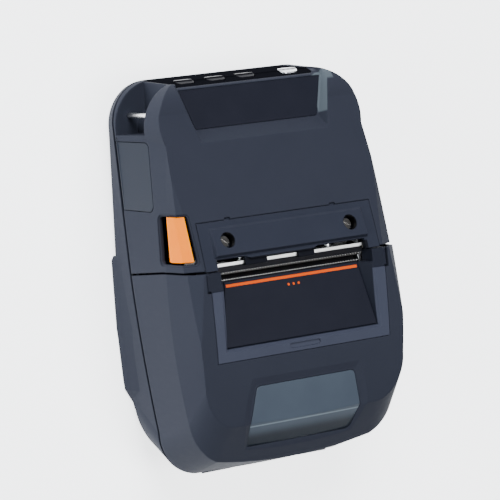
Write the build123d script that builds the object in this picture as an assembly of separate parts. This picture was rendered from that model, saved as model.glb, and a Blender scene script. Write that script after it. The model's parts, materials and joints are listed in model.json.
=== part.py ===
"""Rugged mobile printer for 80 mm receipt and label paper, lying on its back.

All sizes are in millimetres. +Z is the front face with the paper exit, +Y is the end with the
buttons, and +X is to the right when the front is seen with the buttons at the top. The origin is
the middle of the underside, where the back of the printer rests on a table.

The housing has three shells: rear_case below a sloping parting line, front_case above it at the
button end, and media_cover, the lid over the paper roll, hinged at the lower end. The lid carries
the platen roller. The print head stays in the housing, behind head_cover.
"""
import math
import os

from build123d import *

# Driving dimensions of the housing
half_width = 62.0
top_y = 95.5
bottom_y = -95.5
back_z = 3.5
wall = 2.2
seam_gap = 0.7
split_gap = 0.5

# The parting line between the rear case and the two front shells falls towards the button end
seam_mid_z = 18.1
seam_slope = -0.09

# Front face: flat and sloping above the paper exit, crowned below it
front_slope = 0.285
exit_y = 6.35
exit_z = 66.5
crown_y = -36.45
crown_z = 70.1
lid_exit_z = 69.4
fold_y = -69.0
fold_z = 67.0

# Joint between the front case and the lid, seen from the side
split_low = (4.3, 17.8)
split_high = (6.6, 46.8)

# Lid hinge at the lower end
hinge_y = -94.0
knuckle_radius = 1.4
pin_radius = 0.7
case_knuckles = ((20.0, 23.7), (32.3, 36.0))
lid_knuckle = (24.0, 32.0)
running_gap = 0.1

# Paper path
paper_half = 40.5
platen_y = -2.6
platen_z = 54.5
platen_radius = 5.5
shaft_radius = 2.0
head_gap = 0.35

# Gear train
gear_module = 1.0
platen_teeth = 12
idler_teeth = 18
motor_teeth = 10
mesh_gap = 0.15
gear_x0 = 52.4
gear_x1 = 56.0

# Battery in the back
battery_half = 50.0
battery_y0 = -52.0
battery_y1 = 6.0
battery_top_z = 13.5
bay_gap = 0.3
latch_end_y = -58.8

# Belt clip screws in the upper back
clip_pitch_x = 30.0
clip_pitch_y = 20.0
clip_y = 50.0
insert_outer = 2.3
insert_bore = 1.25

# Strap bars in the two upper corners
bar_x = 53.0
bar_y = 79.6
bar_radius = 1.3
pocket_y0 = 70.9
pocket_x0 = 44.0
pocket_z0 = 13.6
pocket_z1 = 35.0

# Strip round the keys
deck_x0 = -43.4
deck_x1 = 38.0
deck_z0 = 11.6
deck_z1 = 37.6
deck_thick = 0.9

# Buttons on the top edge
button_centres = (-33.4, -15.9, 1.2)
button_z = 33.0
power_x = 26.3
power_half = 5.0

os.makedirs("parts", exist_ok=True)
parts = {}


def seam_z(y):
    """Height of the parting line at a distance y along the printer."""
    return seam_mid_z + seam_slope * y


def front_z(y):
    """Height of the flat upper front face."""
    return exit_z - front_slope * (y - exit_y)


hinge_z = seam_z(hinge_y)


def block(x0, x1, y0, y1, z0, z1):
    """A box given by its two corners."""
    centre = Pos((x0 + x1) / 2, (y0 + y1) / 2, (z0 + z1) / 2)
    return centre * Box(x1 - x0, y1 - y0, z1 - z0)


def across(points, x0, x1):
    """A side profile of (y, z) points, extruded from x0 to x1."""
    face = make_face(Polyline(*points, close=True))
    return extrude(Plane.YZ.offset(x0) * face, x1 - x0)


def upright(points, z0, z1):
    """A plan of (x, y) points, extruded from z0 to z1."""
    face = make_face(Polyline(*points, close=True))
    return extrude(Pos(0, 0, z0) * face, z1 - z0)


def rod_x(y, z, radius, x0, x1):
    """A round bar along X."""
    return Pos((x0 + x1) / 2, y, z) * Rot(0, 90, 0) * Cylinder(radius, abs(x1 - x0))


def rod_y(x, z, radius, y0, y1):
    """A round bar along Y."""
    return Pos(x, (y0 + y1) / 2, z) * Rot(90, 0, 0) * Cylinder(radius, abs(y1 - y0))


def rod_z(x, y, radius, z0, z1):
    """A round bar along Z."""
    return Pos(x, y, (z0 + z1) / 2) * Cylinder(radius, z1 - z0)


def both_sides(shape):
    """A shape and its mirror image across the middle of the printer."""
    return shape + mirror(shape, Plane.YZ)


def biggest(shape):
    """The largest solid of a shape, without slivers."""
    return max(shape.solids(), key=lambda solid: solid.volume)


# Outlines of the housing from the back to the front, right half only. Each has the top corner
# (start, middle, end), the side (at the exit, middle, end) and the bottom corner (middle, end)
# and the middle of the lower end.
back_outline = ((41, 94.8), (54.2, 87.7), (59.2, 73.35), (61.3, 6.35), (60.0, -28), (57.4, -58),
                (52.0, -76.4), (38, -89.5), (0, -91))
seam_outline = ((40, 95.5), (55.6, 89.0), (61.5, 73.35), (62, 6.35), (60.9, -28), (57.5, -73),
                (53.4, -87.3), (40.5, -94.8), (0, -95.5))
edge_outline = ((41.5, 93.6), (52.2, 86.5), (56.3, 66), (61.6, 6.35), (61.3, -28), (59.3, -65.4),
                (54.4, -77.5), (44.4, -85.5), (0, -89.6))
front_outline = ((34, 92.5), (49, 83.5), (56, 65), (57.9, 6.35), (58.4, -20), (57.0, -44),
                 (50.5, -58.8), (36, -62.7), (0, -63.4))
edge_heights = (49.5, 49.5, 49.5, 49.5, 50.5, 55.4, 55.5, 54.0, 52.5)
front_plane_z = 71.0


def ring(outline, inset, height):
    """One closed outline, moved inwards by the inset. height gives z from a point's number and y."""
    slant = inset * math.sqrt(0.5)
    moves = ((0, -inset), (-slant, -slant), (-inset, 0), (-inset, 0), (-inset, 0), (-inset, 0),
             (-slant, slant), (0, inset), (0, inset))
    right = []
    left = []
    for number, ((x, y), (move_x, move_y)) in enumerate(zip(outline, moves)):
        x += move_x if x else 0
        y += move_y
        right.append(Vector(x, y, height(number, y)))
        left.append(Vector(-x, y, height(number, y)))
    edges = [
        Edge.make_line(left[0], right[0]),
        Edge.make_three_point_arc(right[0], right[1], right[2]),
        Edge.make_line(right[2], right[3]),
        Edge.make_three_point_arc(right[3], right[4], right[5]),
        Edge.make_three_point_arc(right[5], right[6], right[7]),
        Edge.make_three_point_arc(right[7], right[8], left[7]),
        Edge.make_three_point_arc(left[7], left[6], left[5]),
        Edge.make_three_point_arc(left[5], left[4], left[3]),
        Edge.make_line(left[3], left[2]),
        Edge.make_three_point_arc(left[2], left[1], left[0]),
    ]
    return Wire(edges)


def front_limit(drop):
    """Everything under the front face, lowered by drop, with the rounded top edge.

    The lid stands a little higher than the front case where they meet.
    """
    low = (-110.0, fold_z + 3.0 - drop)
    fold = (fold_y, fold_z - drop)
    mid_crown = (-52.0, 69.1 - drop)
    crown = (crown_y, crown_z - drop)
    shoulder = (-15.0, 70.05 - drop)
    lid_exit = (exit_y, lid_exit_z - drop)
    exit_point = (exit_y, exit_z - drop)
    round_start = (80.0, front_z(80.0) - drop)
    round_mid = (90.4 - 0.6 * drop, 41.4 - drop)
    round_end = (95.4 - drop, 33.0 - drop)
    outline = (
        Polyline((-110.0, -20.0), low, (-80.0, fold_z + 2.0 - drop), fold)
        + Spline(fold, mid_crown, crown, shoulder, lid_exit)
        + Polyline(lid_exit, exit_point, round_start)
        + ThreePointArc(round_start, round_mid, round_end)
        + Polyline(round_end, (98.0, 30.0 - drop), (98.0, -20.0), (-110.0, -20.0))
    )
    return extrude(Plane.YZ.offset(-80) * make_face(outline), 160)


def corner_facet(near, inner, far, drop):
    """Two mirrored cutters above the plane through three points of the right front edge."""
    points = [Vector(x, y, z - drop) for x, y, z in (near, inner, far)]
    normal = (points[1] - points[0]).cross(points[2] - points[0])
    if normal.Z < 0:
        normal = -normal
    face = Plane(origin=points[0], z_dir=normal) * Rectangle(60, 160)
    cutter = extrude(face, 30) & block(30, 90, min(near[1], far[1]), max(near[1], far[1]), 30, 90)
    return both_sides(cutter)


# Facets that take off the front edges towards the joint, on the lid and on the front case
lid_facet = ((59.4, 6.35, 63.9), (53.3, 6.35, 69.3), (58.5, -27.0, 70.2))
case_facet = ((58.9, 6.35, 62.3), (51.5, 6.35, 66.5), (57.6, 50.0, 54.06))


def housing(inset, drop, floor):
    """The solid housing form. inset and drop move its walls inwards, floor raises its back."""
    rings = [
        ring(back_outline, inset, lambda number, y: back_z + floor),
        ring(seam_outline, inset, lambda number, y: seam_z(y)),
        ring(edge_outline, inset, lambda number, y: edge_heights[number] - 0.5 * drop),
        ring(front_outline, inset, lambda number, y: front_plane_z),
    ]
    body = Part() + Solid.make_loft(rings, ruled=True)
    body = body & front_limit(drop)
    return body - corner_facet(*lid_facet, drop) - corner_facet(*case_facet, drop)


outer = housing(0, 0, 0)
inner = housing(wall, wall, wall)

rear_zone = across([(-120, -10), (-120, seam_z(-120) - seam_gap), (120, seam_z(120) - seam_gap),
                    (120, -10)], -80, 80)
front_zone = across([(split_low[0] + split_gap, split_low[1] + seam_gap),
                     (split_high[0] + split_gap, split_high[1]), (split_high[0] + split_gap, 90),
                     (120, 90), (120, seam_z(120) + seam_gap)], -80, 80)
cover_end_y = split_high[0] - split_gap
cover_zone = across([(split_low[0] - split_gap, split_low[1] + seam_gap),
                     (cover_end_y, split_high[1]), (cover_end_y, 90),
                     (-120, 90), (-120, seam_z(-120) + seam_gap)], -80, 80)
seal_zone = across([(-120, seam_z(-120) - seam_gap + running_gap),
                    (120, seam_z(120) - seam_gap + running_gap),
                    (120, seam_z(120) + seam_gap - running_gap),
                    (-120, seam_z(-120) + seam_gap - running_gap)], -80, 80)


def tilted(y, z, slope):
    """A plane along X that falls by slope towards the button end, with its normal upwards."""
    length = math.hypot(1, slope)
    return Plane(origin=(0, y, z), x_dir=(1, 0, 0), z_dir=(0, slope / length, 1 / length))


def plate_on(plane, points, low, high):
    """A flat outline on a plane, extruded from low to high along its normal."""
    face = make_face(Polyline(*points, close=True))
    return extrude(plane.offset(low) * face, high - low)


def wedge(low_quad, high_quad):
    """A solid between two four-sided faces, each given by its corners in order."""
    loops = []
    for quad in (low_quad, high_quad):
        loops.append(Wire.make_polygon([Vector(*corner) for corner in quad], close=True))
    return Part() + Solid.make_loft(loops, ruled=True)


def trapezoid(y0, half0, z0, y1, half1, z1):
    """Corners of a face symmetric about the middle, from its edge at y0 to its edge at y1."""
    return ((-half0, y0, z0), (half0, y0, z0), (half1, y1, z1), (-half1, y1, z1))


front_face = tilted(exit_y, exit_z, front_slope)

# Recess for the dark panel at the button end
panel_slope = 0.198
panel_y = 71.3
panel_z = 42.8
panel_depth = 1.2
panel_face = tilted(panel_y, panel_z, panel_slope)


def panel_recess(extra, depth):
    """The recess at the button end, with its walls moved out by extra and its floor lowered."""
    floor_z = panel_z - depth
    far_z = floor_z - panel_slope * 25.7
    low = trapezoid(panel_y - extra, 35.9 + extra, floor_z, 97, 43.9 + extra, far_z)
    high = trapezoid(63.5 - extra, 36.6 + extra, 51.8, 97, 47.5 + extra, 45.7)
    return wedge(low, high)


def strap_pocket(grow):
    """The opening round the strap bar in the right upper corner, with its walls moved out."""
    corner = block(pocket_x0 - grow, 75, pocket_y0 - grow, 110, pocket_z0 - grow, pocket_z1 + grow)
    return corner - rod_z(40, 73.35, 9.0 - grow, 0, 60)


# Release lever, a rocker on the left front edge
lever_y0 = 11.7
lever_y1 = 32.9
lever_pivot = (-55.9, 35.5)
lever_pin_radius = 0.9


def lever_section(y, drop, side):
    """Outline of the lever across the printer at one end of its length."""
    corners = ((-59.0 + side, 49.3 - drop / 8), (-60.3 + side, 53.3 - drop / 3),
               (-58.9 + side, 60.8 - drop), (-55.1, 64.7 - drop), (-55.1, 57.0 - drop),
               (-57.0, 49.6 - drop / 8))
    return Wire.make_polygon([Vector(x, y, z) for x, z in corners], close=True)


def release_lever():
    """The orange rocker with its hinge tab under the upper edge of its opening."""
    fall = front_slope * (lever_y1 - lever_y0)
    paddle = Solid.make_loft([lever_section(lever_y0, 0, 0), lever_section(lever_y1, fall, 0.4)],
                             ruled=True)
    body = Part() + paddle
    corner = body.edges().group_by(Axis.Y)[0].sort_by(Axis.Z)[-2:]
    body = chamfer(corner, 0.5)
    body = body + block(-57.3, -54.7, lever_y1 - 2.0, 37.3, 49.6, 54.0)
    body = body + block(-57.3, -54.0, 16.0, 19.0, 51.0, 55.0)
    return body - rod_z(*lever_pivot, lever_pin_radius + running_gap / 2, 40, 60)


def lever_opening(grow):
    """The hole in the front case round the lever, with rounded corners."""
    plan = [(-75, 10.6 - grow), (-52.9 + grow, 10.6 - grow), (-53.5 + grow, 33.2 + grow),
            (-75, 33.2 + grow)]
    hole = upright(plan, 40, 80)
    inner_corners = hole.edges().filter_by(Axis.Z).sort_by(Axis.X)[-2:]
    hole = fillet(inner_corners, 1.2 + grow)
    low = [(10.6 - grow, 45.4 - grow), (33.2 + grow, 43.2 - grow), (33.2 + grow, 90),
           (10.6 - grow, 90)]
    side = across(low, -80, -40)
    return hole & fillet(side.edges().filter_by(Axis.X).sort_by(Axis.Z)[:2], 2.2 + grow)


# Port flap on the left side
flap_pivot_x = -60.9
flap_rise = 1.8
flap_thick = 1.5


def flap_zone(margin):
    """The outline of the port flap, seen from the left, as a block through the side wall."""
    y0 = 35.2 + margin
    y1 = 68.0 - margin
    rise = 3 * margin + 0.3
    zone = across([(y0, seam_z(y0) + rise), (y1, seam_z(y1) + rise),
                   (y1 - 0.4, 36.9 - margin), (y0 - 0.6, 40.1 - margin)], -75, -50)
    corners = zone.edges().filter_by(Axis.X).sort_by(Axis.Z)[-2:]
    return fillet(corners, 3.0)


def flap_rod(radius, reach):
    """A round bar on the flap's hinge line, reaching past both ends of the flap."""
    y0 = 35.6 - reach
    y1 = 67.6 + reach
    start = Vector(flap_pivot_x, y0, seam_z(y0) + flap_rise)
    end = Vector(flap_pivot_x, y1, seam_z(y1) + flap_rise)
    line = Plane(origin=start, z_dir=end - start)
    return extrude(line * Circle(radius), (end - start).length)


def port_flap():
    """Rubber flap over the sockets, with trunnions on its rear edge."""
    skin = (outer - Pos(flap_thick, 0, 0) * outer) & flap_zone(0.3)
    body = biggest(skin) + flap_rod(0.8, 0)
    return body + flap_rod(0.5, 1.8)


# The back bulges round the battery. Both outlines are of its right side.
bulge_y0 = -63.3
bulge_low = ((60.6, 12.2), (61.8, 10.2), (61.9, -2.4), (62.0, -23), (61.6, -28), (60.6, -48),
             (60.1, -53), (56.1, -60), (55.4, bulge_y0))
bulge_high = ((60.4, 12.2), (61.4, 10.2), (61.2, -2.4), (60.6, -23), (60.2, -28), (58.5, -48),
              (58.0, -53), (55.4, -60), (54.6, bulge_y0))
bulge_z = 0.5
bulge_top_z = 15.5
case_screw_places = ((-54.0, 26.0), (54.0, 26.0), (-30.0, 84.0), (30.0, 84.0))
screw_seat_z = 8.0
board_posts = ((-46.0, 38.0), (46.0, 38.0), (-46.0, 62.0), (46.0, 62.0))
board_z = 20.0
contact_places = (-9.0, -3.0, 3.0, 9.0)
relief_radius = 2.3


def bulge_ring(outline, z):
    """A closed outline across the printer at the height z, from its right side."""
    left = [(-x, y) for x, y in reversed(outline)]
    return Wire.make_polygon([Vector(x, y, z) for x, y in list(outline) + left], close=True)


def bulge():
    """The thicker lower part of the back, which runs out in the side walls."""
    foot = [(x - bulge_z, y + (bulge_z if y < -55 else 0)) for x, y in bulge_low]
    rings = [bulge_ring(foot, 0), bulge_ring(bulge_low, bulge_z),
             bulge_ring(bulge_high, bulge_top_z)]
    return Part() + Solid.make_loft(rings, ruled=True) - inner


def rear_case():
    """Back shell with the battery bay, the belt clip boss, the sealing lip and the hinge."""
    shell = (outer - inner) & rear_zone
    lip_out = housing(wall + 0.4, wall + 0.4, 0)
    lip_in = housing(wall + 1.6, wall + 1.6, 0)
    lip_zone = across([(-120, seam_z(-120) - 3), (120, seam_z(120) - 3), (120, seam_z(120) + 3),
                       (-120, seam_z(-120) + 3)], -80, 80)
    root_zone = lip_zone & rear_zone
    clear = block(-80, 80, 66, 120, -5, 60)
    lip = ((lip_out - lip_in) & lip_zone) + ((inner - lip_in) & root_zone)
    lip = lip - clear - block(-62, -54, 33, 70, 0, 60)
    body = shell + lip
    boss = block(-24, 24, clip_y - 17, clip_y + 17, 0, back_z + wall)
    boss = fillet(boss.edges().filter_by(Axis.Z), 6.0)
    boss = chamfer(boss.faces().sort_by(Axis.Z)[0].edges(), 1.0)
    hole_half = battery_half + bay_gap
    hole_y0 = battery_y0 - bay_gap
    hole_y1 = battery_y1 + bay_gap
    roof_z = battery_top_z + bay_gap
    bay = block(-hole_half - 1.5, hole_half + 1.5, hole_y0 - 1.5, hole_y1 + 1.5, 0.5, roof_z + 1.2)
    body = body + bulge() + boss + bay
    body = body - block(-hole_half, hole_half, hole_y0, hole_y1, -1, roof_z)
    body = body - block(-8.4, 8.4, latch_end_y, hole_y0 + 0.1, -1, 3.2)
    body = body - block(-9.4, 9.4, latch_end_y, hole_y0 + 0.1, 0.9, 2.5)
    for x in (-clip_pitch_x / 2, clip_pitch_x / 2):
        for y in (clip_y - clip_pitch_y / 2, clip_y + clip_pitch_y / 2):
            body = body - rod_z(x, y, insert_outer, -1, 5.2)
    for x, y in case_screw_places:
        body = body + rod_z(x, y, 4.6, back_z, seam_z(y) + 0.6)
        body = body - rod_z(x, y, 3.2, -1, screw_seat_z) - rod_z(x, y, 1.7, 0, 40)
    for x, y in board_posts:
        body = body + rod_z(x, y, 2.5, back_z, board_z)
    for x in contact_places:
        body = body - block(x - 1.3, x + 1.3, hole_y1 - 0.1, hole_y1 + 3, 4.5, 9.5)
    body = body - rod_x(hinge_y, hinge_z, relief_radius, -case_knuckles[0][0], case_knuckles[0][0])
    for side in (-1, 1):
        for x0, x1 in case_knuckles:
            body = body + rod_x(hinge_y, hinge_z, knuckle_radius, side * x0, side * x1)
        for x0, x1 in ((case_knuckles[0][1], case_knuckles[1][0]), (case_knuckles[1][1], 45.0)):
            body = body - rod_x(hinge_y, hinge_z, relief_radius, side * x0, side * x1)
        body = body - rod_x(hinge_y, hinge_z, pin_radius, side * 19, side * 37)
    return biggest(body)


def seal():
    """Black rubber strip in the joint round the rear case, open at the hinge."""
    ring_form = housing(0.8, 0.8, 0) - housing(wall + 0.3, wall + 0.3, 0)
    body = (ring_form & seal_zone) - block(-45.5, 45.5, -100, -80, 0, 60)
    return body - block(-62, -54, 33, 70, 0, 60)


def top_panel_outline(margin):
    """Outline of the dark panel in the recess, in the plane of its face."""
    return [(-35.0 + margin, margin), (35.0 - margin, margin), (40.7 - margin, 19.5 - margin),
            (-40.7 + margin, 19.5 - margin)]


def top_panel(margin, low, high):
    """The dark panel, or with no margin the pocket for it, with two rounded corners."""
    body = plate_on(panel_face, top_panel_outline(margin), low, high)
    along = Axis((0, 0, 0), panel_face.z_dir)
    corners = body.edges().filter_by(along).sort_by(Axis.Y)[:2]
    return fillet(corners, 1.6)


deck_round = across([(90.5, 39.05), (92.5, 36.8), (93.9, 33.0), (99, 33), (99, 48), (90.5, 48)],
                    -41.5, 41.5)


def key_holes():
    """The holes for the three keys and the power key through the top end."""
    holes = block(power_x - power_half - 0.3, power_x + power_half + 0.3, 88, 98,
                  button_z - 3.3, button_z + 3.3)
    holes = fillet(holes.edges().filter_by(Axis.Y), 3.1)
    for x in button_centres:
        hole = block(x - 5.3, x + 5.3, 88, 98, button_z - 3.3, button_z + 3.3)
        holes = holes + fillet(hole.edges().filter_by(Axis.Y), 2.9)
    return holes


def key_deck(margin, thick):
    """The thin black strip let into the top end round the keys, or its pocket."""
    rounded = outer - deck_round
    skin = rounded - Pos(0, -thick, 0) * rounded
    zone = block(deck_x0 + margin, deck_x1 - margin, 88, 98, deck_z0 + margin, deck_z1 - margin)
    return skin & fillet(zone.edges().filter_by(Axis.Y), 1.5)


def front_case():
    """Front shell at the button end, with the recess, strap pockets and openings."""
    body = (outer - inner) & front_zone
    body = body + (panel_recess(2.2, panel_depth + 1.8) & outer & front_zone)
    body = body + (both_sides(strap_pocket(1.8)) & outer & front_zone)
    for x in (-38.0, -6.0, 26.0):
        body = body + block(x - 1.5, x + 1.5, 84.0, 86.5, 30.0, 38.5)
    body = body - panel_recess(0, 0) - deck_round
    body = body - top_panel(0, -panel_depth, 1)
    body = body - both_sides(strap_pocket(0))
    body = body - both_sides(rod_z(bar_x, bar_y, bar_radius, pocket_z0 - 1.4, pocket_z1 + 1.6))
    body = body - plate_on(front_face, [(-50.3, -8), (50.3, -8), (50.0, 23.85), (-50.0, 23.85)],
                           -7, 6)
    for x in (-32.2, 28.3):
        body = body - plate_on(front_face, [(x - 1.6, 23), (x + 1.6, 23), (x + 1.6, 24.7),
                                            (x - 1.6, 24.7)], -6, 6)
    recess = (outer - Pos(flap_thick + 0.3, 0, 0) * outer) & flap_zone(0)
    body = body - recess - flap_rod(0.55, 2.1) - flap_rod(1.55, 0.35)
    body = body - block(-64, -55, 51.6, 62.4, 21.2, 27.4) - block(-64, -55, 41.0, 51.0, 21.2, 32.0)
    body = body - key_deck(0, deck_thick + 0.1) - key_holes()
    for z0, z1 in ((46.6, 49.2), (54.4, 56.6)):
        body = body + (block(-58.4, -53.9, 33.6, 37.6, z0, z1) & outer)
    body = body - block(-57.8, -54.0, 33.0, 37.9, 49.2, 54.4) - lever_opening(0)
    body = body - (lever_opening(0.8) - Pos(0.45, 0, -0.45) * outer)
    body = body - rod_z(*lever_pivot, lever_pin_radius, 46.0, 57.0)
    for x, y in case_screw_places:
        z0 = seam_z(y) + 1.0
        body = body + rod_z(x, y, 3.4, z0, z0 + 13)
        if abs(x) > 50:
            side = math.copysign(1, x)
            near, far = sorted((x + side * 2, side * 61))
            web = block(near, far, y - 1, y + 1, z0 + 3, z0 + 13)
        else:
            web = block(x - 1, x + 1, y + 2, 93.5, z0, z0 + 13)
        body = body + (web & outer)
        body = body - rod_z(x, y, 1.25, 0, z0 + 11)
    return biggest(body)


# Paper exit: the frame round the sloping label panel, and the two tear edges
label_slope = 0.2
label_z = 62.77
label_end_y = -30.0
label_thick = 1.0
label_drop = label_thick * math.hypot(1, label_slope)
frame_floor = 1.0
frame_end_y = -36.45
rail_z = 60.0
exit_lip_y = 0.2
tooth_pitch = 1.5
label_face = tilted(0, label_z, label_slope)


def frame_outline(margin):
    """Plan of the exit frame up to the joint with the front case."""
    half = 49.9 + margin
    end_half = 49.5 + margin
    y0 = frame_end_y - margin
    y1 = cover_end_y + margin
    return [(-half, y1), (half, y1), (half, -3), (end_half, y0), (-end_half, y0), (-half, -3)]


def label_height(y, drop):
    """Height of the label panel's face at y, lowered by drop."""
    return label_z - label_slope * y - drop


ear_y0 = -2.8
ear_top = ((ear_y0, 69.1), (12.0, 68.1))
ear_x1 = 51.9


def exit_frame():
    """Frame in the lid with the two ears beside the bezel and a floor for the label panel."""
    form = outer & upright(frame_outline(0), rail_z, 80)
    form = form - across([*ear_top, (12.0, 80), (ear_y0, 80)], -60, 60)
    under = label_drop + frame_floor
    below = across([(exit_lip_y, 50), (exit_lip_y, label_height(exit_lip_y, under)),
                    (-40, label_height(-40, under)), (-40, 50)], -43.5, 43.5)
    mouth = block(-43.5, 43.5, exit_lip_y, 12, 50, 80)
    y1 = 12.0
    low = trapezoid(label_end_y, 43.5, label_height(label_end_y, label_drop),
                    y1, 36.6, label_height(y1, label_drop))
    high = trapezoid(label_end_y - 3.1, 44.8, 74, y1, 46.6, 74)
    body = form - below - mouth - wedge(low, high)
    rim_low = trapezoid(label_end_y - 0.9, 43.7, 69.2, y1, 43.7, 69.2)
    rim_high = trapezoid(label_end_y - 2.4, 45.2, 70.7, y1, 45.2, 70.7)
    body = body - wedge(rim_low, rim_high)
    ear = across([*ear_top, (12.0, rail_z), (ear_y0, rail_z)], 44.2, ear_x1)
    ear = ear & block(0, 60, ear_y0, cover_end_y, 0, 80)
    ear = chamfer(ear.faces().sort_by(Axis.Z)[-1].edges(), 0.7)
    body = body + both_sides(ear)
    dent = Pos(0, -33.6, 70.6) * Box(17.6, 2.4, 2.2)
    body = body - fillet(dent.edges().filter_by(Axis.Z), 1.1)
    return biggest(body)


def serrated(half, tip_y, root_y, back_y, z0, z1):
    """A thin blade along X with a row of teeth on one long edge."""
    points = [(-half, back_y), (-half, root_y)]
    count = int(2 * half / tooth_pitch)
    start = -count * tooth_pitch / 2
    for index in range(count):
        x = start + index * tooth_pitch
        points.append((x, root_y))
        points.append((x + tooth_pitch / 2, tip_y))
    points.append((start + count * tooth_pitch, root_y))
    if half > -start:
        points.append((half, root_y))
    else:
        points.remove((-half, root_y))
    points.append((half, back_y))
    return upright(points, z0, z1)


# Window over the paper roll, in a bevelled dish across the fold of the lid
dish_rows = (
    ((28.2, -50.3, 68.2), (31.3, -46.0, 69.65)),
    ((31.75, -68.15, 65.9), (36.2, -68.8, 67.1)),
    ((30.0, -80.2, 58.1), (32.8, -82.8, 57.2)),
)
dish_form = Pos(0, 0.55, -0.8) * outer
pane_under = Pos(0, 1.25, -1.8) * outer


def window_hole(margin):
    """The opening of the window, made smaller by the margin, with four rounded corners."""
    right = [(28.2 - margin, -50.3 - margin), (31.75 - margin, -68.15),
             (30.0 - margin, -80.2 + margin)]
    body = upright(right + [(-x, y) for x, y in reversed(right)], 40, 80)
    uprights = body.edges().filter_by(Axis.Z).sort_by(Axis.Y)
    return fillet(uprights[:2] + uprights[-2:], 2.6 - margin)


def window_dish():
    """The shallow dish round the window, in two parts that meet at the fold."""
    rows = []
    for low, high in dish_rows:
        stretch = [h + 0.5 * (h - l) for l, h in zip(low, high)]
        deeper = [l - 0.7 * (h - l) for l, h in zip(low, high)]
        rows.append((deeper, stretch))
    body = None
    for (low_a, high_a), (low_b, high_b) in zip(rows[:-1], rows[1:]):
        low = trapezoid(low_a[1], low_a[0], low_a[2], low_b[1], low_b[0], low_b[2])
        high = trapezoid(high_a[1], high_a[0], high_a[2], high_b[1], high_b[0], high_b[2])
        part = wedge(low, high)
        body = part if body is None else body + part
    return body - dish_form


def window():
    """The clear pane, folded like the lid, flush with the bottom of the dish."""
    return biggest(window_hole(0.12) & (dish_form - pane_under))


# Lid
cheek_x0 = 44.6
cheek_x1 = 47.4
bearing_radius = 3.5


def media_cover():
    """Lid shell with the openings for the exit frame and the window, and the platen cheeks."""
    body = (outer - inner) & cover_zone
    ledge = block(cheek_x0, 60, -45, -10.5, rail_z - 2.5, rail_z) & outer
    cheek = block(cheek_x0, cheek_x1, -10.6, 1.5, 49.0, rail_z)
    body = body + both_sides(ledge + cheek)
    body = body - upright(frame_outline(0.25), rail_z, 80)
    body = body - both_sides(block(44.0, ear_x1 + 0.3, ear_y0 - 0.3, 12, rail_z, 80))
    body = body - window_dish() - window_hole(0)
    bore_end = cheek_x1 + 1
    body = body - rod_x(platen_y, platen_z, bearing_radius, -bore_end, bore_end)
    for side in (-1, 1):
        for x0, x1 in ((19.7, lid_knuckle[0]), (lid_knuckle[1], 36.3)):
            body = body - rod_x(hinge_y, hinge_z, knuckle_radius + 0.5, side * x0, side * x1)
        body = body + rod_x(hinge_y, hinge_z, knuckle_radius, *(side * x for x in lid_knuckle))
        body = body - rod_x(hinge_y, hinge_z, pin_radius + running_gap / 2, side * 19, side * 37)
    return biggest(body)


def label_panel():
    """Sloping panel under the paper exit, with a groove for the printed line."""
    plate = [(-43.3, -30.35), (43.3, -30.35), (38.2, 0.2), (-38.2, 0.2)]
    body = plate_on(label_face, plate, -label_thick, 0)
    return body - stripe_zone(0)


def stripe_zone(margin):
    """The printed line and its three dots, as a shallow pocket in the label panel."""
    line = [(-37.85 + margin, -2.4 + margin), (37.85 - margin, -2.4 + margin),
            (37.85 - margin, -1.0 - margin), (-37.85 + margin, -1.0 - margin)]
    zone = plate_on(label_face, line, -0.4, 0.1 - margin)
    for x in (-2.9, 0, 2.9):
        dot = label_face.offset(-0.4) * Pos(x, -5.3) * Circle(0.65 - margin)
        zone = zone + extrude(dot, 0.5 - margin)
    return zone


def cover_tear_edge():
    """Serrated steel edge of the lid, hooked under the floor of the exit frame."""
    blade = serrated(40.2, 1.4, 0.9, exit_lip_y, 61.0, 61.6)
    blade = blade + block(-40.2, 40.2, -1.0, 0.9, 60.25, 60.68)
    return blade + block(-40.2, 40.2, exit_lip_y, 0.9, 60.25, 61.6)


# Bezel over the print head
bezel_thick = 2.5
plateau_low_rise = 2.2
plateau_high_rise = 0.8
bezel_screw_x = 35.2
bezel_screw_v = 13.8
screw_seat = 3.8


def on_front(corners):
    """Corners given on the sloping front face and above it, in the printer's own axes."""
    return [tuple(front_face.from_local_coords(Vector(*corner))) for corner in corners]


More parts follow.
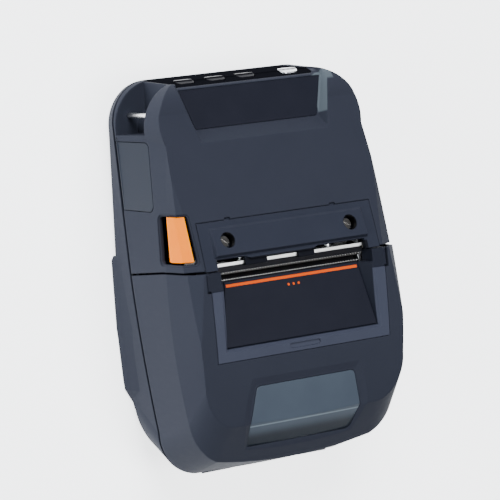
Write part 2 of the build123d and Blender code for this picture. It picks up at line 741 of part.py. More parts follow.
def head_cover():
    """Bezel with the raised field, the two screw wells and the hooks over the tear blade."""
    plate = [(-50.0, 0.3), (50.0, 0.3), (49.7, 23.55), (-49.7, 23.55)]
    body = plate_on(front_face, plate, -bezel_thick, 0)
    for x in (-32.2, 28.3):
        tab = [(x - 1.3, 23), (x + 1.3, 23), (x + 1.3, 24.4), (x - 1.3, 24.4)]
        body = body + plate_on(front_face, tab, -bezel_thick, -0.6)
    low = on_front(((-44.2, 5.9, -0.2), (44.2, 5.9, -0.2), (44.2, 21.0, -0.2), (-44.2, 21.0, -0.2)))
    high = on_front(((-43.2, 6.8, plateau_low_rise), (43.2, 6.8, plateau_low_rise),
                     (43.2, 19.4, plateau_high_rise), (-43.2, 19.4, plateau_high_rise)))
    body = body + wedge(low, high)
    mouth = [(-43.2, -1), (42.0, -1), (42.0, 5.4), (15.1, 5.4), (10.8, 3.9), (-23.7, 3.9),
             (-26.6, 5.4), (-43.2, 5.4)]
    body = body - plate_on(front_face, mouth, -6, 3)
    for x0, x1 in ((-26.6, -14.3), (3.7, 12.9)):
        hook = [(x0, 1.2), (x1, 1.2), (x1, 5.8), (x0, 5.8)]
        body = body + plate_on(front_face, hook, -bezel_thick, -1.4)
    for x in (-bezel_screw_x, bezel_screw_x):
        spot = Pos(x, bezel_screw_v)
        pad_depth = screw_seat + 1.7
        body = body + extrude(front_face.offset(-pad_depth) * spot * Circle(5.2), pad_depth)
        body = body - extrude(front_face.offset(-screw_seat) * spot * Circle(3.85), 8)
        body = body - extrude(front_face.offset(-8.0) * Pos(x, bezel_screw_v) * Circle(1.7), 8)
    body = body - block(-60, 60, 0, split_high[0], 50, 80)
    return biggest(body)


def head_cover_screws():
    """Two slotted screws through the bezel into the chassis."""
    both = Part()
    for x in (-bezel_screw_x, bezel_screw_x):
        spot = Pos(x, bezel_screw_v)
        head = extrude(front_face.offset(-screw_seat) * spot * Circle(2.7), 1.7)
        slot = front_face.offset(1.0 - screw_seat) * spot * Rot(0, 0, 55) * Rectangle(0.9, 6)
        shank = extrude(front_face.offset(-9.0) * spot * Circle(1.5), 9.1 - screw_seat)
        both = both + (head - extrude(slot, 2)) + shank
    return both


# Print head, spring loaded against the platen
head_y0 = platen_y + platen_radius + head_gap
head_y1 = 6.5
spring_places = (-25.0, 0.0, 25.0)
spring_z = 57.6
blade_z = 62.0
cross_y0 = 16.0
cross_y1 = 17.5


def print_head():
    """Thermal print head, a flat bar with the heating line opposite the platen."""
    bar = block(-41, 41, head_y0 + 0.4, head_y1, 48, 61)
    return bar + block(-40, 40, head_y0, head_y0 + 0.5, platen_z - 2.5, platen_z + 2.5)


def head_bracket():
    """Folded steel carrier of the print head."""
    plate = block(-41.2, 41.2, head_y1, head_y1 + 1.5, 50, blade_z)
    plate = plate + block(-41.2, 41.2, head_y1, 9.2, blade_z - 1.5, blade_z)
    foot = block(-41.2, 41.2, head_y1, 10.5, 50, 51.2)
    return plate + foot - block(-34, 34, 8.5, 12, 49, 52)


def head_springs():
    """Three compression springs behind the print head, drawn as sleeves."""
    all_three = Part()
    for x in spring_places:
        sleeve = rod_y(x, spring_z, 1.6, head_y1 + 1.5, cross_y0)
        all_three = all_three + (sleeve - rod_y(x, spring_z, 1.1, head_y1, cross_y1))
    return all_three


def tear_blade():
    """Serrated steel blade on top of the print head carrier."""
    blade = serrated(42.0, 4.35, 5.2, 9.2, blade_z, blade_z + 0.5)
    return blade + block(-42, 42, 8.1, 9.2, blade_z, blade_z + 0.9)


# Latch that holds the closed lid, and the frame that carries the mechanism
latch_y = 13.5
latch_z = 53.0
flange_x0 = 48.6
flange_x1 = 50.0
idler_y = 1.8
idler_z = 40.0
motor_y = 15.3
motor_z = 35.8
motor_shaft_radius = 1.5


def latch_shaft():
    """Cross shaft with a hook at each end of the platen and a cam on the lever side."""
    arm = [(11.0, 51.4), (latch_y, 50.6), (16.0, 52.0), (15.6, 55.4), (12.0, 59.5), (0.0, 59.5),
           (0.0, 56.0), (1.5, 56.0), (3.0, 57.0), (9.0, 57.0)]
    body = rod_x(latch_y, latch_z, 2.0, -51.6, 51.6)
    body = body + both_sides(across(arm, 41.6, 43.3))
    cam = [(11.0, 53.0), (latch_y, 50.4), (19.0, 52.0), (19.0, 55.4), (14.0, 56.0)]
    return body + across(cam, -52.2, -50.6)


def chassis():
    """Folded steel frame with the bearings of the latch, the idler and the motor."""
    body = block(-flange_x1, flange_x1, cross_y0, cross_y1, 48.5, 60)
    body = body + block(-flange_x1, -flange_x0, 9, cross_y1, 47, 60)
    body = body - both_sides(block(29.0, 41.4, 15, 19, 57.0, 61))
    right = [(-5, 35), (-5, 44), (7.5, 46.5), (9.5, 60), (cross_y1, 60), (cross_y1, 26), (8, 26)]
    body = body + across(right, flange_x0, flange_x1)
    for x in (-bezel_screw_x, bezel_screw_x):
        tab = [(x - 5, 10.4), (x + 5, 10.4), (x + 5, 18.5), (x - 5, 18.5)]
        body = body + plate_on(front_face, tab, -8.4, -6.9)
        body = body - extrude(front_face.offset(-12) * Pos(x, bezel_screw_v) * Circle(1.5), 8)
    body = body - rod_x(latch_y, latch_z, 2.0 + running_gap / 2, -60, 60)
    body = body - rod_x(motor_y, motor_z, motor_shaft_radius + 0.4, 40, 60)
    return body + rod_x(idler_y, idler_z, shaft_radius, flange_x0, 57)


def feed_motor():
    """Stepper motor body behind the right flange of the frame."""
    body = rod_x(motor_y, motor_z, 12, 20, flange_x0)
    body = body + block(46.6, flange_x0, motor_y - 6, motor_y + 6, motor_z - 15.5, motor_z + 12.2)
    return body - rod_x(motor_y, motor_z, motor_shaft_radius + running_gap / 2, 40, 60)


def gear(teeth, y, z, bore, phase):
    """Spur gear with straight-sided teeth. phase is the angle of one tooth in the YZ plane."""
    pitch_radius = gear_module * teeth / 2
    root = pitch_radius - 1.25 * gear_module
    tip = pitch_radius + 0.85 * gear_module
    points = []
    for index in range(teeth):
        middle = phase + 2 * math.pi * index / teeth
        for radius, half in ((root, -0.95), (tip, -0.34), (tip, 0.34), (root, 0.95)):
            angle = middle + math.asin(half / radius)
            points.append((y + radius * math.cos(angle), z + radius * math.sin(angle)))
    return across(points, gear_x0, gear_x1) - rod_x(y, z, bore, 40, 60)


# Directions between the gear centres set the angles at which the teeth mesh
to_idler = math.atan2(idler_z - platen_z, idler_y - platen_y)
to_motor = math.atan2(motor_z - idler_z, motor_y - idler_y)
half_pitch = math.pi * gear_module / 2
platen_phase = to_idler
idler_phase = to_idler + math.pi + math.pi / idler_teeth
idler_arc = gear_module * idler_teeth / 2 * (idler_phase - to_motor)
motor_phase = to_motor + math.pi - (idler_arc + half_pitch) / (gear_module * motor_teeth / 2)


# Roll bay
roll_y = -42.0
roll_z = 43.0
trough_inner = 25.5
trough_half = 47.0
guide_x0 = 42.0
guide_x1 = 44.0
guide_travel = 14.0
guide_radius = 16.5


def roll_bin():
    """Trough for the paper roll with a ramp to the platen and slots for the guide feet."""
    tube = rod_x(roll_y, roll_z, trough_inner + 1.5, -trough_half, trough_half)
    feet = block(-40, 40, -50, -47, 15.0, 19) + block(-40, 40, -37, -34, 15.0, 19)
    body = tube + feet - rod_x(roll_y, roll_z, trough_inner, -60, 60)
    body = body - block(-60, 60, -80, 0, roll_z, 90)
    ramp = [(-17.4, 41.0), (-9.6, 45.0), (-9.6, 46.6), (-17.4, 43.0)]
    body = body + across(ramp, -trough_half, trough_half)
    inner_end = guide_x0 - guide_travel - 0.5
    return body - both_sides(block(inner_end, guide_x1 + 0.5, -45, -39, 15.2, 19))


def roll_guide():
    """Right guide disc with its hub and the foot that slides in the trough."""
    disc = rod_x(roll_y, roll_z, guide_radius, guide_x0, guide_x1)
    disc = disc - rod_x(roll_y, roll_z, guide_radius - 3, guide_x0 - 1, guide_x0 + 0.8)
    hub = rod_x(roll_y, roll_z, 8, guide_x0 - 4, guide_x1)
    hub = chamfer(hub.faces().sort_by(Axis.X)[0].edges(), 1.5)
    foot = block(guide_x0, guide_x1, -44.6, -39.4, 15.6, 29)
    return disc + hub + foot


def battery_latch():
    """Sliding catch at the lower end of the battery."""
    body = block(-8, 8, -57.0, battery_y0 - 0.6, 0.4, 2.8)
    body = body + block(-9, 9, -57.0, battery_y0 - 0.6, 1.3, 2.1)
    for y in (-56.2, -55.0, -53.8):
        body = body - block(-6, 6, y - 0.3, y + 0.3, 0, 0.8)
    return body


def battery_pack():
    """Removable battery with bevelled edges and a finger dent."""
    body = block(-battery_half, battery_half, battery_y0, battery_y1, 0.2, battery_top_z)
    body = chamfer(body.edges().filter_by(Axis.Z), 1.5)
    body = chamfer(body.faces().sort_by(Axis.Z)[0].edges(), 0.8)
    dent = block(-12, 12, battery_y0 + 4, battery_y0 + 10, -1, 1.4)
    body = body - fillet(dent.edges().filter_by(Axis.Z), 2.5)
    for index in range(5):
        y = battery_y0 + 14 + 2.4 * index
        body = body - block(-18, 18, y, y + 1.0, -1, 0.8)
    return body


def battery_contacts():
    """Four brass spring contacts in the end wall of the battery bay."""
    all_four = Part()
    y0 = battery_y1 + 0.45
    for x in contact_places:
        leaf = block(x - 1, x + 1, y0, y0 + 0.5, 5, 9.1) + block(x - 1, x + 1, y0, 12, 8.6, 9.1)
        all_four = all_four + leaf
    return all_four


def sleeves(places, outer_radius, bore, z0, z1):
    """A set of equal sleeves standing along Z."""
    group = Part()
    for x, y in places:
        group = group + (rod_z(x, y, outer_radius, z0, z1) - rod_z(x, y, bore, z0 - 1, z1 + 1))
    return group


def case_screws():
    """Four screws from the back into the posts of the front case."""
    group = Part()
    for x, y in case_screw_places:
        head = rod_z(x, y, 2.8, screw_seat_z - 2, screw_seat_z)
        head = head - block(x - 2.2, x + 2.2, y - 0.4, y + 0.4, 0, screw_seat_z - 1.1)
        group = group + head + rod_z(x, y, 1.25, screw_seat_z, seam_z(y) + 11)
    return group


def shell_socket(x1, y0, y1, height):
    """A metal socket on the main board, open towards the port flap."""
    z0 = board_z + 1.6
    body = block(-57, x1, y0, y1, z0, z0 + height)
    return body - block(-58, x1 - 2, y0 + 0.6, y1 - 0.6, z0 + 0.6, z0 + height - 0.6)


def button(x):
    """A key cap in the top edge, following the rounded edge, with its retaining flange."""
    cap = fillet(block(x - 5, x + 5, 88.7, 99, button_z - 3, button_z + 3)
                 .edges().filter_by(Axis.Y), 2.6)
    cap = cap & (Pos(0, 0.4, 0) * (outer - deck_round))
    return cap + block(x - 5.9, x + 5.9, 90.6, 91.6, button_z - 4.0, button_z + 2.4)


def power_button():
    """Oval metal key beside the other three."""
    cap = block(power_x - power_half, power_x + power_half, 88.7, 99, button_z - 3, button_z + 3)
    cap = fillet(cap.edges().filter_by(Axis.Y), 2.9) & (Pos(0, 0.5, 0) * (outer - deck_round))
    half = power_half + 0.9
    return cap + block(power_x - half, power_x + half, 90.6, 91.6, button_z - 4.0, button_z + 2.4)


clip_places = []
for clip_x in (-clip_pitch_x / 2, clip_pitch_x / 2):
    for screw_y in (clip_y - clip_pitch_y / 2, clip_y + clip_pitch_y / 2):
        clip_places.append((clip_x, screw_y))

parts["rear_case"] = rear_case()
parts["front_case"] = front_case()
parts["seal"] = seal()
parts["media_cover"] = media_cover()
parts["exit_frame"] = exit_frame()
parts["label_panel"] = label_panel()
parts["orange_stripe"] = stripe_zone(0.03)
parts["cover_tear_edge"] = cover_tear_edge()
parts["window"] = window()
parts["head_cover"] = head_cover()
parts["head_cover_screws"] = head_cover_screws()
parts["print_head"] = print_head()
parts["head_bracket"] = head_bracket()
parts["head_springs"] = head_springs()
parts["tear_blade"] = tear_blade()
parts["top_panel"] = top_panel(0.2, -panel_depth, 0)
parts["key_deck"] = biggest(key_deck(0.15, deck_thick) - key_holes())
parts["strap_bar_right"] = rod_z(bar_x, bar_y, bar_radius, pocket_z0 - 1.4, pocket_z1 + 1.6)
parts["strap_bar_left"] = mirror(parts["strap_bar_right"], Plane.YZ)
parts["clip_inserts"] = sleeves(clip_places, insert_outer, insert_bore, 0.3, 5.2)
parts["case_screws"] = case_screws()
parts["main_board"] = block(-50, 50, 34, 66, board_z, board_z + 1.6)
parts["usb_socket"] = shell_socket(-48, 52.5, 61.5, 4.4)
parts["dc_socket"] = shell_socket(-45, 41.5, 50.5, 10)
parts["keypad_board"] = block(-41, 33, 86.5, 87.7, 25.5, 36)
parts["chassis"] = chassis()
parts["feed_motor"] = feed_motor()
parts["motor_shaft"] = rod_x(motor_y, motor_z, motor_shaft_radius, 42, 56.6)
parts["motor_gear"] = gear(motor_teeth, motor_y, motor_z, motor_shaft_radius, motor_phase)
parts["idler_gear"] = gear(idler_teeth, idler_y, idler_z, shaft_radius + running_gap / 2,
                           idler_phase)
parts["platen_gear"] = gear(platen_teeth, platen_y, platen_z, shaft_radius, platen_phase)
parts["platen_shaft"] = rod_x(platen_y, platen_z, shaft_radius, -47.8, 56.6)
platen_bar = rod_x(platen_y, platen_z, platen_radius, -paper_half, paper_half)
parts["platen_rubber"] = platen_bar - rod_x(platen_y, platen_z, shaft_radius, -60, 60)
bearing = (rod_x(platen_y, platen_z, bearing_radius, cheek_x0, cheek_x1)
           - rod_x(platen_y, platen_z, shaft_radius + running_gap / 2, 40, 60))
parts["platen_bearings"] = both_sides(bearing)
parts["latch_shaft"] = latch_shaft()
parts["release_lever"] = release_lever()
parts["lever_pin"] = rod_z(*lever_pivot, lever_pin_radius, 46.4, 56.6)
parts["port_flap"] = port_flap()
for number, x in enumerate(button_centres, start=1):
    parts[f"button_{number}"] = button(x)
parts["power_button"] = power_button()
parts["roll_bin"] = roll_bin()
parts["roll_guide_right"] = roll_guide()
parts["roll_guide_left"] = mirror(parts["roll_guide_right"], Plane.YZ)
parts["media_sensor"] = block(-5, 5, -15.5, -11.5, 46.0, 48.5)
pin = rod_x(hinge_y, hinge_z, pin_radius, 19.2, 36.6)
parts["hinge_pins"] = both_sides(pin)
parts["battery_pack"] = battery_pack()
parts["battery_latch"] = battery_latch()
parts["battery_contacts"] = battery_contacts()

for name, shape in parts.items():
    export_step(shape, f"parts/{name}.step")
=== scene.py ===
"""Looks of the mobile receipt printer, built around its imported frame."""
import json
import math

import bpy
from mathutils import Matrix, Vector


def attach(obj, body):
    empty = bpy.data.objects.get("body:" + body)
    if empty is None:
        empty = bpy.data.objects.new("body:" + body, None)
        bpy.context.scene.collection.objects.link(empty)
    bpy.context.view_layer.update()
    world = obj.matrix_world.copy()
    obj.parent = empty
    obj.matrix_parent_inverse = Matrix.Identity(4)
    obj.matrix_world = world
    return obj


MM = 0.001

# The front face starts at this place in the Y-Z plane and falls by the slope towards +Y
front_start = Vector((0, 6.35, 66.5)) * MM
front_slope = 0.285
front_level = front_start.z + front_start.y * front_slope

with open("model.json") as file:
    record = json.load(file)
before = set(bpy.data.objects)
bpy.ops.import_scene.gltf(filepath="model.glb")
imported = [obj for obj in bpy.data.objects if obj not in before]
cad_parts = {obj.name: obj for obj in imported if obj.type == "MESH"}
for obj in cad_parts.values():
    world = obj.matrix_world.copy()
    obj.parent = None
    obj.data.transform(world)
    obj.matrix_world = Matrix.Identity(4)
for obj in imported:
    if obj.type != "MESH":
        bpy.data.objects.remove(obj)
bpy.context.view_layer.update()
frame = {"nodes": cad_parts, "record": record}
nodes = frame["nodes"]


# Shader maths
class Value:
    """A number that varies over a surface. Operators on it add Math nodes."""

    def __init__(self, look, socket):
        self.look = look
        self.socket = socket

    def _math(self, operation, first, second):
        return self.look.node("ShaderNodeMath", {"operation": operation}, [first, second])

    def __add__(self, other):
        return self._math("ADD", self, other)

    def __radd__(self, other):
        return self._math("ADD", other, self)

    def __sub__(self, other):
        return self._math("SUBTRACT", self, other)

    def __rsub__(self, other):
        return self._math("SUBTRACT", other, self)

    def __mul__(self, other):
        return self._math("MULTIPLY", self, other)

    def around(self, spread):
        """A value from 0 to 1, turned into a swing about zero with the width of spread."""
        return (self - 0.5) * spread

    def step(self, edge, softness):
        """0 below the edge and 1 above it, over a soft stretch."""
        return self.look.node("ShaderNodeMapRange", {"interpolation_type": "SMOOTHSTEP"},
                              {"Value": self, "From Min": edge - softness,
                               "From Max": edge + softness})


def past(value, place_mm, soft_mm):
    """1 beyond a place along an axis and 0 before it."""
    return value.step(place_mm * MM, soft_mm * MM)


def within(value, low_mm, high_mm, soft_mm=0.1):
    """1 between two places along an axis and 0 outside them."""
    return past(value, low_mm, soft_mm) * (1 - past(value, high_mm, soft_mm))


class Look:
    """A material with its nodes."""

    def __init__(self, name):
        self.material = bpy.data.materials.new(name)
        self.material.use_nodes = True
        self.tree = self.material.node_tree
        self.shader = self.tree.nodes["Principled BSDF"]
        self.place = self.node("ShaderNodeTexCoord", {}, {}, "Object")

    def feed(self, socket, value):
        """A link for a value that varies, or a fixed value. Colours get their alpha of 1."""
        if isinstance(value, Value):
            self.tree.links.new(value.socket, socket)
        elif socket.type == "RGBA":
            socket.default_value = (*value, 1.0)
        else:
            socket.default_value = value

    def node(self, kind, settings, inputs, output=0):
        """One node: its settings first, then the values or links of its sockets."""
        made = self.tree.nodes.new(kind)
        for key, value in settings.items():
            setattr(made, key, value)
        pairs = inputs.items() if isinstance(inputs, dict) else enumerate(inputs)
        for key, value in pairs:
            self.feed(made.inputs[key], value)
        return Value(self, made.outputs[output])

    def noise(self, size_mm, detail, stretch=(1, 1, 1)):
        """Noise from 0 to 1 whose blotches are about size_mm across."""
        place = self.node("ShaderNodeMapping", {}, {"Vector": self.place, "Scale": stretch})
        return self.node("ShaderNodeTexNoise", {},
                         {"Vector": place, "Scale": 1 / (size_mm * MM), "Detail": detail}, "Fac")

    def cells(self, size_mm):
        """Distance to the middle of cells that are about size_mm across."""
        return self.node("ShaderNodeTexVoronoi", {},
                         {"Vector": self.place, "Scale": 1 / (size_mm * MM)}, "Distance")

    def mix(self, factor, first, second):
        """A colour between two colours."""
        made = self.tree.nodes.new("ShaderNodeMix")
        made.data_type = "RGBA"
        first_socket, second_socket = [s for s in made.inputs if s.type == "RGBA"]
        mixed = [s for s in made.outputs if s.type == "RGBA"][0]
        self.feed(made.inputs[0], factor)
        self.feed(first_socket, first)
        self.feed(second_socket, second)
        return Value(self, mixed)

    def axis(self, letter):
        """One coordinate of the place on the object, in metres."""
        return self.node("ShaderNodeSeparateXYZ", {}, [self.place], letter)

    def set(self, **sockets):
        """Links or values of the shader's sockets, with _ for a space in their names."""
        for key, value in sockets.items():
            self.feed(self.shader.inputs[key.replace("_", " ")], value)

    def relief(self, height, depth_mm, edge_mm=0.0):
        """Bump of the given height, over edges that are rounded by edge_mm."""
        inputs = {"Height": height, "Distance": depth_mm * MM, "Strength": 1.0}
        if edge_mm:
            inputs["Normal"] = self.node("ShaderNodeBevel", {"samples": 8},
                                         {"Radius": edge_mm * MM})
        self.set(Normal=self.node("ShaderNodeBump", {}, inputs))


# Plastics
def worn_surface(look, rough, gloss, grain_mm, depth_mm, edge_mm):
    """Matte grain with faint handling marks. Returns the tone that mixes two colours."""
    grain = look.noise(grain_mm, 3.0)
    pits = look.cells(grain_mm * 1.6)
    cloud = look.noise(22.0, 4.0)
    rubbed = look.noise(5.0, 5.0, (1.0, 2.5, 1.0)).step(0.58, 0.16)
    look.set(Roughness=rough + grain.around(0.14) - rubbed * 0.05 + cloud.around(0.08),
             Specular_IOR_Level=gloss)
    look.relief(grain * 0.7 + pits * 0.3, depth_mm, edge_mm)
    return grain * 0.35 + cloud * 0.65


def plain_surface(look, rough, gloss, depth_mm):
    """Fine matte grain without marks. Returns the clouds that mix two colours."""
    grain = look.noise(0.30, 3.0)
    cloud = look.noise(22.0, 4.0)
    look.set(Roughness=rough + grain.around(0.14) + cloud.around(0.08), Specular_IOR_Level=gloss)
    look.relief(grain, depth_mm, edge_mm=0.5)
    return cloud


def grained_plastic(name, dark, light, rough, gloss, grain_mm, depth_mm, edge_mm):
    """Moulded plastic of one tone."""
    look = Look(name)
    tone = worn_surface(look, rough, gloss, grain_mm, depth_mm, edge_mm)
    look.set(Base_Color=look.mix(tone, dark, light))
    return look.material


def case_plastic():
    """The case plastic, with a painted sheen that makes the right facet of the recess at the
    button end paler.
    """
    look = Look("case_plastic")
    tone = worn_surface(look, rough=0.60, gloss=0.03, grain_mm=0.35, depth_mm=0.035, edge_mm=1.0)
    x = look.axis("X")
    y = look.axis("Y")
    z = look.axis("Z")
    # Painted sheen: a paler colour on the right facet of the recess stands in for a glossy
    # reflection of a softbox
    across = within(x, 36.2, 46.5, 0.3)
    along = within(y - x * 0.4, 58.2, 76.0, 0.5)
    under_the_front = 1 - past(z + y * front_slope - front_level, -0.4, 0.25)
    over_the_corner = past(z, 37.8, 0.4)
    facet = across * along * under_the_front * over_the_corner
    slate = look.mix(tone, (0.0185, 0.0208, 0.0305), (0.0230, 0.0256, 0.0368))
    painted_sheen_colour = (0.075, 0.092, 0.108)
    look.set(Base_Color=look.mix(facet * 0.85, slate, painted_sheen_colour))
    return look.material


def frame_plastic():
    """The frame round the paper exit: painted light makes the top faces of the rails pale, and
    painted shade makes the ears and inner walls dark.
    """
    look = Look("frame_plastic")
    cloud = plain_surface(look, rough=0.46, gloss=0.06, depth_mm=0.02)
    # Painted light and shade: lit top faces get the pale colour, the ears and inner walls a
    # shaded dark one
    lit_top_faces = past(look.axis("Z"), 68.8, 0.2)
    ears = past(look.axis("Y"), -2.9, 0.1)
    pale = look.mix(cloud, (0.0310, 0.0350, 0.0530), (0.0370, 0.0415, 0.0620))
    dark = look.mix(cloud, (0.0095, 0.0110, 0.0180), (0.0120, 0.0140, 0.0220))
    look.set(Base_Color=look.mix(lit_top_faces * (1 - ears), dark, pale))
    return look.material


def bezel_plastic():
    """The bezel, blackened where its hooks reach over the tear blade."""
    look = Look("bezel_plastic")
    cloud = plain_surface(look, rough=0.50, gloss=0.04, depth_mm=0.025)
    at_the_blade = 1 - past(look.axis("Y"), 10.6, 0.3)
    hooks = at_the_blade * within(look.axis("X"), -43.4, 43.4)
    face = look.mix(cloud, (0.0165, 0.0188, 0.0290), (0.0208, 0.0235, 0.0350))
    black = (0.002, 0.002, 0.003)
    look.set(Base_Color=look.mix(hooks * 0.8, face, black))
    return look.material


def panel_plastic():
    """Dark satin panel with a faint fleck."""
    look = Look("panel_plastic")
    fleck = look.noise(0.5, 2.0)
    cloud = look.noise(14.0, 3.0)
    look.set(Base_Color=look.mix(cloud, (0.0070, 0.0080, 0.0140), (0.0095, 0.0105, 0.0175)),
             Roughness=0.46 + fleck.around(0.10) + cloud.around(0.06), Specular_IOR_Level=0.10)
    look.relief(fleck, depth_mm=0.02, edge_mm=0.3)
    return look.material


def smoked_window():
    """Smoked pane, with painted shade below the fold and a painted highlight along the fold."""
    look = Look("smoked_window")
    cloud = look.noise(18.0, 2.0)
    y = look.axis("Y")
    upper = past(y, -73.5, 3.0)
    # Painted shade on the downward-facing pane below the fold, and a painted highlight line
    # along the fold
    fold = within(y, -69.9, -69.3, 0.25)
    glass = look.mix(cloud, (0.042, 0.055, 0.074), (0.053, 0.068, 0.090))
    shaded_lower_glass = (0.012, 0.016, 0.023)
    fold_highlight = (0.16, 0.20, 0.23)
    pane = look.mix(upper, shaded_lower_glass, glass)
    look.set(Base_Color=look.mix(fold * 0.8, pane, fold_highlight), Roughness=0.30 + cloud * 0.08,
             Alpha=0.92 + cloud * 0.04, Specular_IOR_Level=0.12)
    look.relief(cloud, depth_mm=0.03, edge_mm=0.5)
    return look.material


def lever_plastic():
    """Orange plastic, with a painted highlight that makes its inner edge yellower, dulled by
    painted shade at the button end.
    """
    look = Look("orange_plastic")
    grain = look.noise(0.4, 3.0)
    cloud = look.noise(9.0, 3.0)
    # Painted shade from the pocket's top edge at the button end, and a painted highlight along
    # the inner edge
    button_end_shade = past(look.axis("Y"), 28.0, 8.0)
    inner_edge_highlight = past(look.axis("X"), -55.2, 0.6)
    highlight_orange = look.mix(button_end_shade, (0.88, 0.32, 0.0), (0.74, 0.23, 0.0))
    side_orange = (0.78, 0.15, 0.0)
    cloud_orange = (0.92, 0.38, 0.001)
    orange = look.mix(inner_edge_highlight, side_orange, highlight_orange)
    look.set(Base_Color=look.mix(cloud * 0.3, orange, cloud_orange),
             Roughness=0.52 + grain.around(0.12), Specular_IOR_Level=0.04)
    look.relief(grain, depth_mm=0.02, edge_mm=0.6)
    return look.material


def orange_print():
    """Printed orange ink."""
    look = Look("orange_print")
    grain = look.noise(0.25, 3.0)
    look.set(Base_Color=look.mix(grain, (0.50, 0.055, 0.0), (0.62, 0.080, 0.001)),
             Roughness=0.55 + grain.around(0.1), Specular_IOR_Level=0.1)
    look.relief(grain, depth_mm=0.01)
    return look.material


def gear_plastic():
    """Pale gear plastic."""
    look = Look("gear_plastic")
    grain = look.noise(0.5, 3.0)
    look.set(Base_Color=look.mix(grain, (0.55, 0.54, 0.49), (0.68, 0.67, 0.61)),
             Roughness=0.48 + grain.around(0.12))
    look.relief(grain, depth_mm=0.02)
    return look.material


# Rubber, metal and boards
def rubber(name, dark, light, rough, edge_mm):
    """Matte rubber with a dusty tone."""
    look = Look(name)
    grain = look.noise(0.22, 4.0)
    dust = look.noise(6.0, 5.0).step(0.55, 0.2)
    look.set(Base_Color=look.mix(grain * 0.5 + dust * 0.5, dark, light),
             Roughness=rough + grain.around(0.12) + dust * 0.05, Specular_IOR_Level=0.12)
    look.relief(grain, 0.03, edge_mm)
    return look.material


def brushed_metal(name, dark, light, rough, stretch, edge_mm=0.25):
    """Metal with fine drawn lines along one axis."""
    look = Look(name)
    lines = look.noise(0.16, 3.0, stretch)
    cloud = look.noise(8.0, 3.0)
    look.set(Base_Color=look.mix(lines * 0.6 + cloud * 0.4, dark, light), Metallic=1.0,
             Roughness=rough + lines.around(0.18) + cloud.around(0.08))
    look.relief(lines, 0.01, edge_mm)
    return look.material


def toothed_steel(name, tip_from_mm, tip_to_mm, lip_from_mm):
    """Blackened blade with bright ground teeth and a polished lip behind lip_from_mm."""
    look = Look(name)
    lines = look.noise(0.16, 3.0, (0.08, 1.0, 1.0))
    y = look.axis("Y")
    teeth = within(y, tip_from_mm, tip_to_mm, 0.05)
    lip = past(y, lip_from_mm, 0.2)
    black = (0.012, 0.012, 0.014)
    ground = look.mix(lines, (0.78, 0.78, 0.77), (0.94, 0.94, 0.92))
    look.set(Base_Color=look.mix(teeth * 0.55 + lip, black, ground), Metallic=1.0,
             Roughness=0.40 + lines.around(0.16))
    look.relief(lines, depth_mm=0.01)
    return look.material


def board_green():
    """Solder mask with faint traces."""
    look = Look("board_green")
    traces = look.noise(1.4, 1.0, (1.0, 4.0, 1.0)).step(0.52, 0.03)
    look.set(Base_Color=look.mix(traces, (0.015, 0.10, 0.05), (0.03, 0.17, 0.08)),
             Roughness=0.38 + traces * 0.12)
    look.relief(traces, depth_mm=0.03)
    return look.material


def head_ceramic():
    """Glazed ceramic of the print head."""
    look = Look("head_ceramic")
    glaze = look.noise(0.6, 2.0)
    look.set(Base_Color=look.mix(glaze, (0.012, 0.011, 0.010), (0.020, 0.018, 0.016)),
             Roughness=0.22 + glaze * 0.15)
    look.relief(glaze, depth_mm=0.01)
    return look.material


# How the drawn lines of a metal are stretched
even = (1.0, 1.0, 1.0)
lines_along_x = (0.08, 1.0, 1.0)
lines_along_z = (1.0, 1.0, 0.1)

looks = {
    "case_plastic": case_plastic(),
    "deck_plastic": grained_plastic(
        "deck_plastic", dark=(0.0030, 0.0032, 0.0045), light=(0.0050, 0.0052, 0.0070),
        rough=0.45, gloss=0.0, grain_mm=0.30, depth_mm=0.02, edge_mm=0.3),
    "bezel_plastic": bezel_plastic(),
    "seal_rubber": rubber(
        "seal_rubber", dark=(0.002, 0.002, 0.003), light=(0.004, 0.004, 0.005),
        rough=0.70, edge_mm=0.0),
    "inner_plastic": grained_plastic(
        "inner_plastic", dark=(0.012, 0.012, 0.014), light=(0.018, 0.018, 0.021),
        rough=0.50, gloss=0.2, grain_mm=0.5, depth_mm=0.03, edge_mm=0.4),
    "battery_plastic": grained_plastic(
        "battery_plastic", dark=(0.028, 0.032, 0.042), light=(0.036, 0.041, 0.053),
        rough=0.55, gloss=0.2, grain_mm=0.4, depth_mm=0.04, edge_mm=0.6),
    "panel_plastic": panel_plastic(),
    "smoked_window": smoked_window(),
    "orange_plastic": lever_plastic(),
    "orange_print": orange_print(),
    "flap_rubber": rubber(
        "flap_rubber", dark=(0.0105, 0.0138, 0.0225), light=(0.0135, 0.0175, 0.0280),
        rough=0.60, edge_mm=0.8),
    "key_rubber": grained_plastic(
        "key_rubber", dark=(0.004, 0.004, 0.006), light=(0.009, 0.009, 0.012),
        rough=0.34, gloss=0.015, grain_mm=0.30, depth_mm=0.01, edge_mm=0.6),
    "platen_black": rubber(
        "platen_black", dark=(0.010, 0.010, 0.011), light=(0.016, 0.016, 0.017),
        rough=0.55, edge_mm=0.0),
    "silver_paint": brushed_metal(
        "silver_paint", dark=(0.55, 0.56, 0.58), light=(0.68, 0.69, 0.71),
        rough=0.34, stretch=even),
    "steel": brushed_metal(
        "steel", dark=(0.60, 0.60, 0.61), light=(0.78, 0.78, 0.79),
        rough=0.28, stretch=lines_along_x),
    "dark_steel": brushed_metal(
        "dark_steel", dark=(0.06, 0.06, 0.065), light=(0.11, 0.11, 0.12),
        rough=0.42, stretch=even),
    "brass": brushed_metal(
        "brass", dark=(0.62, 0.46, 0.20), light=(0.78, 0.61, 0.30),
        rough=0.32, stretch=lines_along_z),
    "board_green": board_green(),
    "gear_plastic": gear_plastic(),
    "head_ceramic": head_ceramic(),
}

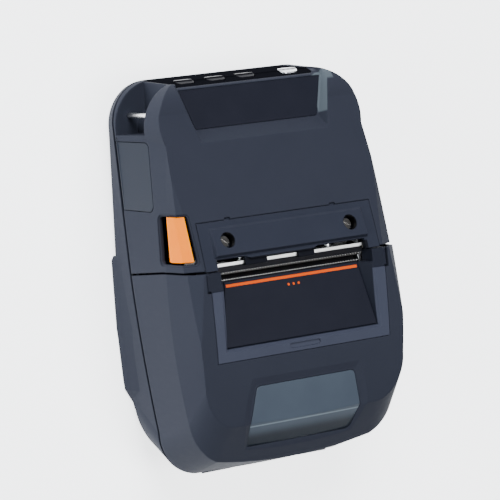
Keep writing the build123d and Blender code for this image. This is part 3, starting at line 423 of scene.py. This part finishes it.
# Pieces that look different from the rest of their material
special_looks = {
    "exit_frame": frame_plastic(),
    "tear_blade": toothed_steel("blade_steel", tip_from_mm=4.0, tip_to_mm=4.7, lip_from_mm=7.7),
    "cover_tear_edge": toothed_steel("lid_edge_steel", tip_from_mm=1.0, tip_to_mm=1.6,
                                     lip_from_mm=9.0),
    "head_cover_screws": brushed_metal(
        "screw_steel", dark=(0.10, 0.10, 0.10), light=(0.24, 0.23, 0.22),
        rough=0.30, stretch=even, edge_mm=0.1),
}

for part in frame["record"]["subparts"]:
    mesh = nodes[part["node"]].data
    mesh.materials.clear()
    mesh.materials.append(special_looks.get(part["node"], looks[part["material_slot"]]))

# Near-black sleeves that paint shade inside the two screw wells of the bezel: well_side from the
# middle, well_up along the front face from its start, and with their rims well_rim above that
# face
front_normal = Vector((0, front_slope, 1)).normalized()
up_the_front = Vector((0, 1, -front_slope)).normalized()
well_side = 35.2 * MM
well_up = 13.8 * MM
well_rim = 0.95 * MM
well_depth = 4.7 * MM
sleeve_radius = 3.82 * MM
sleeve_wall = 0.22 * MM


def left_sleeve():
    """A short open near-black tube that paints shade inside the left screw well."""
    bpy.ops.object.select_all(action="DESELECT")
    rim_centre = front_start + up_the_front * well_up + front_normal * well_rim
    rim_centre.x = -well_side
    bpy.ops.mesh.primitive_cylinder_add(
        vertices=64, radius=sleeve_radius, depth=well_depth, end_fill_type="NOTHING",
        location=rim_centre - front_normal * (well_depth / 2),
        rotation=front_normal.to_track_quat("Z", "Y").to_euler())
    sleeve = bpy.context.object
    sleeve.name = "well_sleeve_left"
    bpy.ops.object.transform_apply(location=True, rotation=True, scale=True)
    wall = sleeve.modifiers.new("wall", "SOLIDIFY")
    wall.thickness = sleeve_wall
    wall.offset = -1.0
    bpy.ops.object.modifier_apply(modifier="wall")
    rim = sleeve.modifiers.new("rim", "BEVEL")
    rim.width = sleeve_wall * 0.3
    rim.segments = 2
    rim.limit_method = "ANGLE"
    bpy.ops.object.modifier_apply(modifier="rim")
    bpy.ops.object.shade_smooth_by_angle(angle=math.radians(40))
    # Near-black colour that paints the shade inside the well
    sleeve.data.materials.append(grained_plastic(
        "well_painted_shade", dark=(0.0015, 0.0015, 0.0020), light=(0.0030, 0.0030, 0.0035),
        rough=0.35, gloss=0.10, grain_mm=0.30, depth_mm=0.02, edge_mm=0.0))
    return sleeve


def right_sleeve():
    """A copy of the selected left sleeve, with its own mesh, in the right screw well."""
    bpy.ops.object.duplicate(linked=False)
    sleeve = bpy.context.object
    sleeve.name = "well_sleeve_right"
    sleeve.location.x = 2 * well_side
    bpy.ops.object.transform_apply(location=True, rotation=True, scale=True)
    return sleeve


for sleeve in (left_sleeve(), right_sleeve()):
    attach(sleeve, "case")


# Floor, lights and camera
printer_middle = Vector((0, 0, 40)) * MM


def floor():
    """Pale glowing ground that the printer lies on."""
    bpy.ops.object.select_all(action="DESELECT")
    bpy.ops.mesh.primitive_plane_add(size=8.0, location=(0, 0, 0))
    ground = bpy.context.object
    ground.name = "floor"
    look = Look("floor")
    cloud = look.noise(400.0, 2.0)
    look.set(Base_Color=look.mix(cloud, (0.93, 0.93, 0.93), (0.96, 0.96, 0.96)),
             Roughness=0.8 + cloud * 0.05, Specular_IOR_Level=0.0,
             Emission_Color=(0.96, 0.98, 1.0), Emission_Strength=2.6)
    ground.data.materials.append(look.material)


def softbox(name, location, size, power, colour):
    """A square soft light aimed at the middle of the printer."""
    data = bpy.data.lights.new(name, "AREA")
    data.shape = "SQUARE"
    data.size = size
    data.energy = power
    data.color = colour
    lamp = bpy.data.objects.new(name, data)
    bpy.context.collection.objects.link(lamp)
    aim = printer_middle - Vector(location)
    lamp.location = location
    lamp.rotation_euler = aim.to_track_quat("-Z", "Y").to_euler()


def photo_camera():
    """The camera fitted to the photograph, with its place and turn in the printer's frame."""
    data = bpy.data.cameras.new("photo_camera")
    data.sensor_width = 36.0
    data.lens = 218.94
    data.clip_end = 20.0
    camera = bpy.data.objects.new("photo_camera", data)
    bpy.context.collection.objects.link(camera)
    place = Matrix.Translation((-0.80257, 0.17342, 1.25372))
    turn = Matrix(((0.829499, 0.124495, -0.544457),
                   (-0.075495, 0.990886, 0.111556),
                   (0.553383, -0.051431, 0.831338)))
    camera.matrix_world = place @ turn.to_4x4()
    bpy.context.scene.camera = camera


def sky(strength):
    """Even studio surround."""
    world = bpy.data.worlds.new("studio")
    world.use_nodes = True
    background = world.node_tree.nodes["Background"]
    background.inputs["Color"].default_value = (0.93, 0.96, 1.0, 1.0)
    background.inputs["Strength"].default_value = strength
    bpy.context.scene.world = world


floor()
photo_camera()
sky(strength=0.14)
softbox("left_softbox", (-1.6, -0.2, 0.7), size=1.0, power=17.0, colour=(0.90, 0.97, 1.0))
softbox("top_softbox", (-0.45, 1.35, 1.5), size=1.0, power=60.0, colour=(0.96, 0.98, 1.0))
softbox("overhead_softbox", (0.35, -0.25, 2.0), size=0.9, power=34.0, colour=(0.97, 0.98, 1.0))
